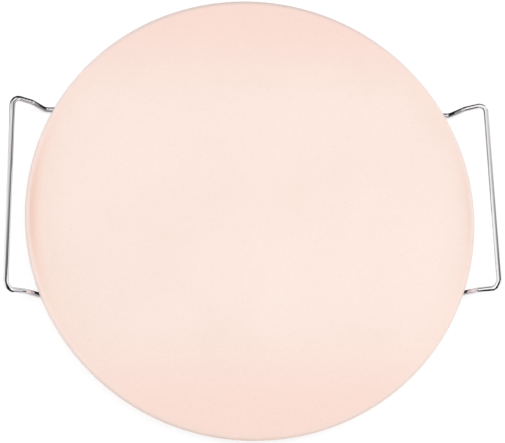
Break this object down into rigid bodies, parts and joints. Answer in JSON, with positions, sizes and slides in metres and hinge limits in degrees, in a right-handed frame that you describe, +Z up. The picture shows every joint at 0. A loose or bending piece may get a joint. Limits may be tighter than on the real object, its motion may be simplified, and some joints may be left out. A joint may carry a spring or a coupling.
{
  "type": "pizza stone on a wire rack",
  "caption": "Round pale ceramic baking stone lying loose on a chromed wire rack with a raised handle at each end; the stone lifts off the rack.",
  "frame": {"origin": "on the stone's axis, on the surface that the rack stands on", "axes": "+X from the left handle to the right handle, +Y from the front edge, where the stone touches its stops, to the back, +Z up"},
  "size_m": [0.405, 0.38, 0.0398],
  "materials": {
    "stone": "unglazed, pressed smooth and fired, matt",
    "plated_wire": "bright plated round steel wire"
  },
  "bodies": {
    "rack": {"handle_wire_left": "plated_wire", "handle_wire_right": "plated_wire", "cross_wire_left": "plated_wire", "cross_wire_middle": "plated_wire", "cross_wire_right": "plated_wire"},
    "stone": {"baking_stone": "stone"}
  },
  "joints": [
    {"name": "stone_lift", "type": "slide", "parent": "rack", "child": "stone", "axis": [0, 0, 1], "range_m": [0, 0.06]}
  ]
}
